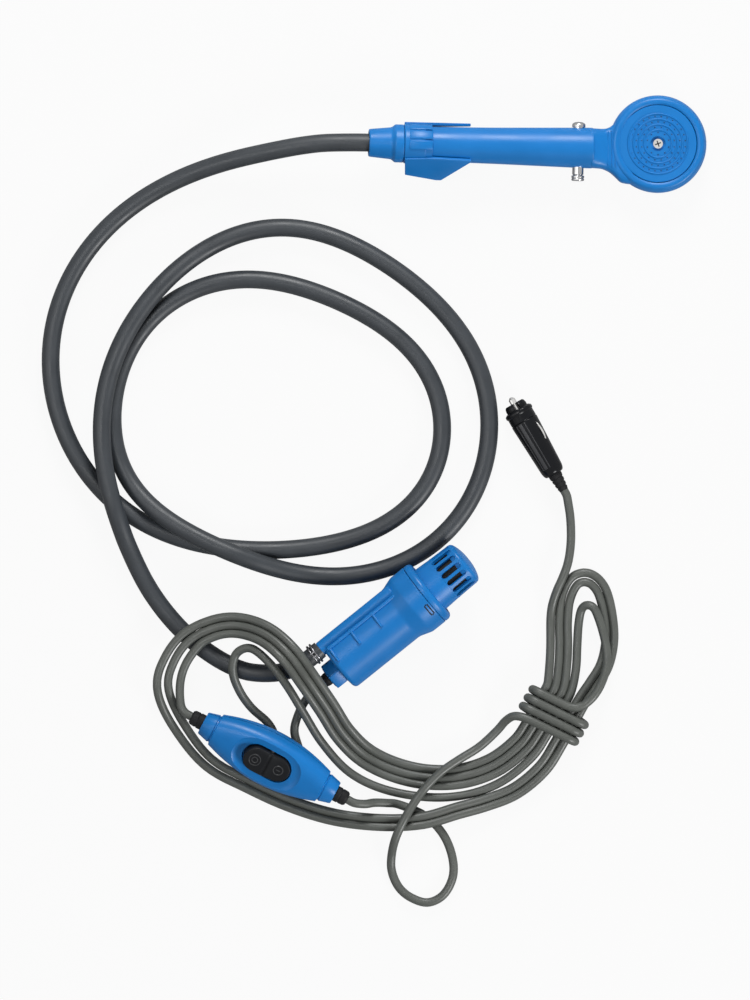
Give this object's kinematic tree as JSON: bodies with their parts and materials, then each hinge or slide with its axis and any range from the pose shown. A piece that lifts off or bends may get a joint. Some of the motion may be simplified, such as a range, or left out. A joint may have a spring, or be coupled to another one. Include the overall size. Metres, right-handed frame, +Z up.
{
  "type": "camp shower set with submersible pump",
  "caption": "Camp shower: a submersible pump with strainer feeds a hose and a push-valve shower head, wired through a rocker cord switch to a car power plug.",
  "frame": {"origin": "on the surface it lies on, under the middle of the box round the pump and the shower head", "axes": "+Z up out of the spray face; +X from the handle's hose end towards the shower head; +Y from the pump towards the shower head"},
  "size_m": [0.4962, 0.6074, 0.0522],
  "materials": {
    "blue_plastic": "satin moulded",
    "black_plastic": "satin moulded",
    "black_gloss": "semi-gloss moulded",
    "black_rubber": "matt",
    "hose_vinyl": "satin",
    "cable_vinyl": "satin",
    "steel": "zinc plated",
    "iron": "plain",
    "copper": "plain",
    "chrome": "bright nickel",
    "glass": "clear"
  },
  "bodies": {
    "set": {"pump_housing": "blue_plastic", "cap_seal": "black_rubber", "seal_plate": "blue_plastic", "shaft_seal": "black_rubber", "motor_can": "steel", "motor_end_cap": "black_plastic", "motor_magnets": "iron", "motor_brushes": "iron", "gland_nut": "blue_plastic", "cable_grommet": "black_rubber", "hose_clamp": "steel", "shower_body": "blue_plastic", "spray_plate": "blue_plastic", "plate_gasket": "black_rubber", "plate_screw": "chrome", "hose_tail": "black_plastic", "hose_washer": "black_rubber", "hose": "hose_vinyl", "switch_upper_shell": "blue_plastic", "switch_lower_shell": "blue_plastic", "rocker_axle": "steel", "switch_terminals": "copper", "switch_screws": "steel", "switch_relief_left": "black_rubber", "switch_relief_right": "black_rubber", "plug_shell_upper": "black_gloss", "plug_shell_lower": "black_gloss", "plug_nose": "black_gloss", "plug_spring": "steel", "plug_relief": "black_rubber", "pump_lead": "cable_vinyl", "cable_hank": "cable_vinyl", "cable_wraps": "cable_vinyl", "drop_loop": "cable_vinyl", "switch_tail": "cable_vinyl", "plug_lead": "cable_vinyl"},
    "rotor": {"motor_shaft": "steel", "armature": "iron", "commutator": "copper", "impeller": "black_plastic"},
    "strainer": {"strainer_cap": "blue_plastic", "filter_sleeve": "black_rubber"},
    "valve": {"valve_pin": "chrome", "valve_cap": "chrome", "valve_o_rings": "black_rubber"},
    "bracket": {"hanger_bracket": "blue_plastic"},
    "nut": {"hose_nut": "blue_plastic"},
    "rocker": {"rocker": "black_plastic", "rocker_contact": "copper"},
    "tip": {"plug_tip": "chrome", "plug_fuse": "glass"},
    "contact_right": {"plug_contact_right": "chrome"},
    "contact_left": {"plug_contact_left": "chrome"}
  },
  "joints": [
    {"name": "rotor_spin", "type": "hinge", "parent": "set", "child": "rotor", "pos_m": [-0.102, -0.184, 0.02382], "axis": [0.7783, 0.6258, 0.0515], "continuous": true},
    {"name": "strainer_pull", "type": "slide", "parent": "set", "child": "strainer", "axis": [0.7783, 0.6258, 0.0515], "range_m": [0, 0.03]},
    {"name": "valve_push", "type": "slide", "parent": "set", "child": "valve", "axis": [0.0209, 0.9998, 0], "range_m": [0, 0.0052]},
    {"name": "bracket_swivel", "type": "hinge", "parent": "set", "child": "bracket", "pos_m": [-0.06516, 0.18571, 0.02453], "axis": [0.9973, -0.0209, -0.0698], "continuous": true},
    {"name": "nut_turn", "type": "hinge", "parent": "set", "child": "nut", "pos_m": [-0.0863, 0.18615, 0.02601], "axis": [0.9973, -0.0209, -0.0698], "continuous": true},
    {"name": "rocker_swing", "type": "hinge", "parent": "set", "child": "rocker", "pos_m": [-0.17815, -0.2761, 0.02938], "axis": [0.4322, 0.8128, 0.3907], "range_deg": [-14, 0]},
    {"name": "tip_press", "type": "slide", "parent": "set", "child": "tip", "axis": [0.5, -0.866, 0], "range_m": [0, 0.0025], "stiffness_N_per_m": 1200, "springref_m": -0.001},
    {"name": "contact_right_press", "type": "slide", "parent": "set", "child": "contact_right", "axis": [-0.6436, -0.3716, -0.6691], "range_m": [0, 0.0012], "stiffness_N_per_m": 2000, "springref_m": -0.0005},
    {"name": "contact_left_press", "type": "slide", "parent": "set", "child": "contact_left", "axis": [0.6436, 0.3716, 0.6691], "range_m": [0, 0.0012], "stiffness_N_per_m": 2000, "springref_m": -0.0005}
  ]
}
